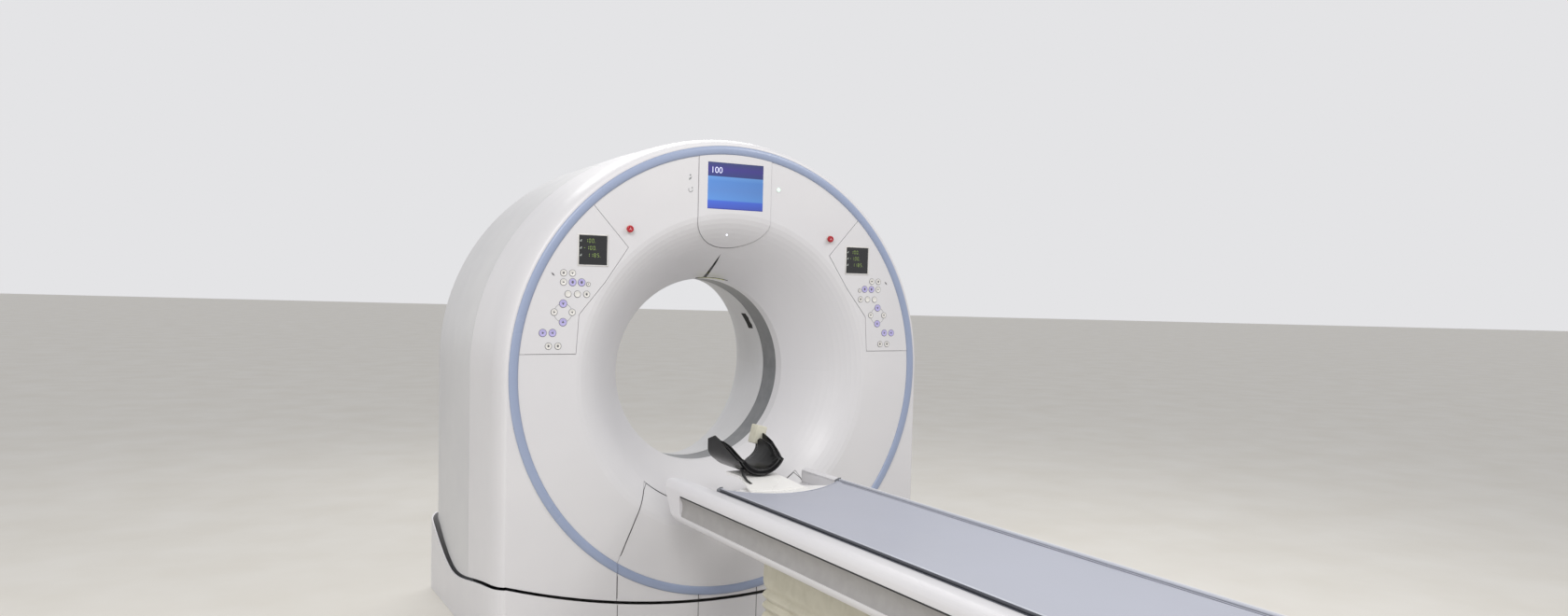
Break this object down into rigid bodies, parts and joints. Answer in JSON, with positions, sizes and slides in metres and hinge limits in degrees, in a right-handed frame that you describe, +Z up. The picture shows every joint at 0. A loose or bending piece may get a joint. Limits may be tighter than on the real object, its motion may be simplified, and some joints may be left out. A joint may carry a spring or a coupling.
{
  "type": "computed tomography scanner",
  "caption": "Tilting ring-shaped scanner gantry with a flared bore, front display and control panels, on a floor base, with a lifting patient couch, sliding top and head holder.",
  "frame": {"origin": "on the floor, under the middle of the whole machine's bounding box", "axes": "+X across the gantry to the right as seen from the couch, +Y from the couch into the bore, +Z up"},
  "size_m": [1.902, 3.696, 1.9868],
  "materials": {
    "housing_white": "moulded plastic, satin warm white",
    "housing_rear": "moulded plastic, satin pale grey",
    "accent_blue": "moulded plastic, grey lavender blue",
    "window_grey": "thin polycarbonate window, matt grey",
    "screen_glass": "lit display behind a gloss panel",
    "readout_black": "black gloss readout",
    "key_white": "soft-touch translucent keys",
    "stop_red": "red moulded button",
    "collar_pale": "pale moulded collar",
    "dark_window": "smoked laser window",
    "frame_steel": "painted steel weldment",
    "frame_light": "painted light grey",
    "bearing_steel": "ground bearing steel",
    "rotor_alu": "machined aluminium",
    "unit_grey": "painted unit housing",
    "copper_ring": "slip ring tracks",
    "drive_dark": "motor laminations",
    "couch_white": "moulded plastic, satin white",
    "inset_grey": "grey inset strip",
    "bellows_cream": "coated fabric pleats",
    "rail_grey": "anodised rail, dark grey",
    "cap_grey": "grey end cap",
    "mattress_grey": "padded vinyl, pale grey lavender",
    "cradle_white": "carbon-fibre board, white lacquer",
    "holder_white": "moulded plastic, white",
    "cup_black": "black moulded shell",
    "cushion_black": "black vinyl pad"
  },
  "bodies": {
    "stand": {"base_frame": "frame_steel", "base_cover": "housing_white", "base_front_panel": "housing_white", "tilt_drive": "unit_grey", "couch_base": "frame_steel", "couch_plinth": "couch_white", "column_outer": "frame_steel", "couch_bellows": "bellows_cream"},
    "gantry": {"tilt_frame": "frame_light", "cover_brackets": "frame_light", "front_shell": "housing_white", "rear_shell": "housing_rear", "rear_cover": "housing_rear", "front_cover": "housing_white", "lower_panel": "housing_white", "accent_ring": "accent_blue", "lower_accent": "accent_blue", "scan_window": "window_grey", "display_bezel": "housing_white", "display_screen": "screen_glass", "left_panel": "housing_white", "right_panel": "housing_white", "left_readout": "readout_black", "right_readout": "readout_black", "left_keys": "key_white", "right_keys": "key_white", "estop_collars": "collar_pale", "laser_window": "dark_window", "bearing_outer_race": "bearing_steel", "drive_stator": "drive_dark", "brush_block": "unit_grey"},
    "rotor": {"rotor_plate": "rotor_alu", "bearing_inner_race": "bearing_steel", "bearing_balls": "bearing_steel", "xray_tube": "rotor_alu", "collimator": "unit_grey", "detector": "rotor_alu", "hv_generator": "unit_grey", "heat_exchanger": "rotor_alu", "slip_ring": "copper_ring", "drive_magnets": "drive_dark"},
    "left_stop": {"left_estop": "stop_red"},
    "right_stop": {"right_estop": "stop_red"},
    "column_stage": {"column_middle": "frame_light"},
    "couch": {"column_inner": "frame_steel", "couch_frame": "frame_steel", "left_side_cover": "couch_white", "right_side_cover": "couch_white", "side_insets": "inset_grey", "nose_cover": "couch_white", "tail_cover": "couch_white", "slide_rails": "rail_grey"},
    "tabletop": {"cradle": "cradle_white", "mattress": "mattress_grey", "table_rails": "rail_grey", "corner_caps": "cap_grey", "head_tongue": "holder_white", "head_cup": "cup_black", "head_cushion": "cushion_black"}
  },
  "joints": [
    {"name": "gantry_tilt", "type": "hinge", "parent": "stand", "child": "gantry", "pos_m": [0, 1.117, 1.035], "axis": [-1, 0, 0], "range_deg": [-30, 12]},
    {"name": "rotor_spin", "type": "hinge", "parent": "gantry", "child": "rotor", "pos_m": [0, 1.117, 1.035], "axis": [0, 1, 0], "continuous": true},
    {"name": "left_stop_push", "type": "slide", "parent": "gantry", "child": "left_stop", "axis": [0, 1, 0], "range_m": [0, 0.004], "stiffness_N_per_m": 400},
    {"name": "right_stop_push", "type": "slide", "parent": "gantry", "child": "right_stop", "axis": [0, 1, 0], "range_m": [0, 0.004], "stiffness_N_per_m": 400},
    {"name": "couch_lift", "type": "slide", "parent": "stand", "child": "couch", "axis": [0, 0, 1], "range_m": [-0.26, 0.26], "deforming": ["couch_bellows"]},
    {"name": "column_follow", "type": "slide", "parent": "stand", "child": "column_stage", "axis": [0, 0, 1], "range_m": [-0.13, 0.13]},
    {"name": "table_slide", "type": "slide", "parent": "couch", "child": "tabletop", "axis": [0, 1, 0], "range_m": [0, 0.42]}
  ],
  "couplings": [
    {"joint": "column_follow", "follows": "couch_lift", "ratio": 0.5}
  ]
}
